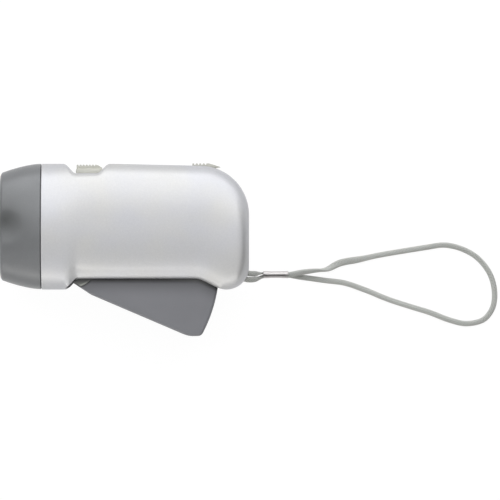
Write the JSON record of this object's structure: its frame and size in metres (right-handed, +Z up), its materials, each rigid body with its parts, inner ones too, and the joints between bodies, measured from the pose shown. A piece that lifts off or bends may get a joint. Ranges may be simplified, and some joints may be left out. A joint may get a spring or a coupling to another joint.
{
  "type": "hand crank flashlight",
  "caption": "Squeeze-lever dynamo torch: rounded split housing, collared head with a clear window over lamp cups, sprung hand lever with gear train, sliding switch, lever lock and wrist strap.",
  "frame": {"origin": "centre of the torch's box without its strap, on the surface that its right side lies on", "axes": "+X from the lamp head towards the tail and strap, +Y from the hand lever towards the sliding switch, +Z up, out of the left side"},
  "size_m": [0.2101, 0.0732, 0.044],
  "materials": {
    "silver_plastic": "silver metallic paint on moulded plastic, satin",
    "head_plastic": "mid grey moulded plastic with a fine metallic fleck, satin",
    "lever_plastic": "mid grey moulded plastic, fine texture",
    "button_plastic": "warm light grey moulded plastic",
    "clear_plastic": "clear polished plastic",
    "plated_reflector": "vacuum-plated moulded plastic, mirror bright",
    "lamp_resin": "clear lamp resin",
    "board_laminate": "green solder mask on glass laminate",
    "bright_steel": "nickel-plated steel",
    "spring_steel": "drawn spring wire",
    "white_nylon": "natural nylon",
    "black_nylon": "black nylon",
    "ferrite_magnet": "ground ferrite",
    "core_steel": "stacked iron laminations",
    "copper_wire": "enamelled copper wire",
    "capacitor_sleeve": "shrunk plastic sleeve",
    "red_wire": "red wire insulation",
    "black_wire": "black wire insulation",
    "strap_braid": "soft braided tubular cord, pale grey-green"
  },
  "bodies": {
    "housing": {"left_housing": "silver_plastic", "right_housing": "silver_plastic", "head_collar": "head_plastic", "lens": "clear_plastic", "reflector": "plated_reflector", "led_board": "board_laminate", "led_1": "lamp_resin", "led_2": "lamp_resin", "led_3": "lamp_resin", "cell_holder": "black_nylon", "cell_1": "bright_steel", "cell_2": "bright_steel", "circuit_board": "board_laminate", "slide_switch": "bright_steel", "capacitor": "capacitor_sleeve", "rectifier": "black_nylon", "lever_pin": "bright_steel", "drive_axle": "bright_steel", "idler_axle": "bright_steel", "flywheel_axle": "bright_steel", "stator_core": "core_steel", "coil_bobbin": "black_nylon", "coil_winding": "copper_wire", "coil_lead_1": "copper_wire", "coil_lead_2": "copper_wire", "led_lead_1": "red_wire", "led_lead_2": "black_wire", "housing_screw_1": "bright_steel", "housing_screw_2": "bright_steel", "housing_screw_3": "bright_steel", "housing_screw_4": "bright_steel", "strap_pin": "bright_steel", "strap_eye": "strap_braid", "strap_ferrule": "bright_steel", "wrist_strap": "strap_braid"},
    "lever_body": {"lever": "lever_plastic", "sector_gear": "white_nylon", "lever_spring": "spring_steel"},
    "drive_gear": {"ratchet_pinion": "black_nylon", "drive_wheel": "white_nylon"},
    "idler": {"idler_gear": "white_nylon"},
    "rotor": {"flywheel": "white_nylon", "rotor_magnet": "ferrite_magnet"},
    "switch_slider": {"switch_knob": "button_plastic"},
    "lock_slider": {"lock_knob": "button_plastic", "lock_hook": "black_nylon"}
  },
  "joints": [
    {"name": "lever_squeeze", "type": "hinge", "parent": "housing", "child": "lever_body", "pos_m": [-0.0209, -0.00664, 0.022], "axis": [0, 0, 1], "range_deg": [0, 23.1], "stiffness_Nm_per_rad": 0.3, "springref_deg": -34.38, "deforming": ["lever_spring"]},
    {"name": "drive_spin", "type": "hinge", "parent": "housing", "child": "drive_gear", "pos_m": [-0.0011, 0.01316, 0.022], "axis": [0, 0, 1], "continuous": true},
    {"name": "idler_spin", "type": "hinge", "parent": "housing", "child": "idler", "pos_m": [0.01256, 0.01508, 0.022], "axis": [0, 0, 1], "continuous": true},
    {"name": "rotor_spin", "type": "hinge", "parent": "housing", "child": "rotor", "pos_m": [0.02344, 0.02015, 0.022], "axis": [0, 0, 1], "continuous": true},
    {"name": "switch_slide", "type": "slide", "parent": "housing", "child": "switch_slider", "axis": [-1, 0, 0], "range_m": [0, 0.004]},
    {"name": "lock_slide", "type": "slide", "parent": "housing", "child": "lock_slider", "axis": [-1, 0, 0], "range_m": [0, 0.004]}
  ],
  "couplings": [
    {"joint": "drive_spin", "follows": "lever_squeeze", "ratio": -6},
    {"joint": "idler_spin", "follows": "lever_squeeze", "ratio": 21.6},
    {"joint": "rotor_spin", "follows": "lever_squeeze", "ratio": -64.8}
  ]
}
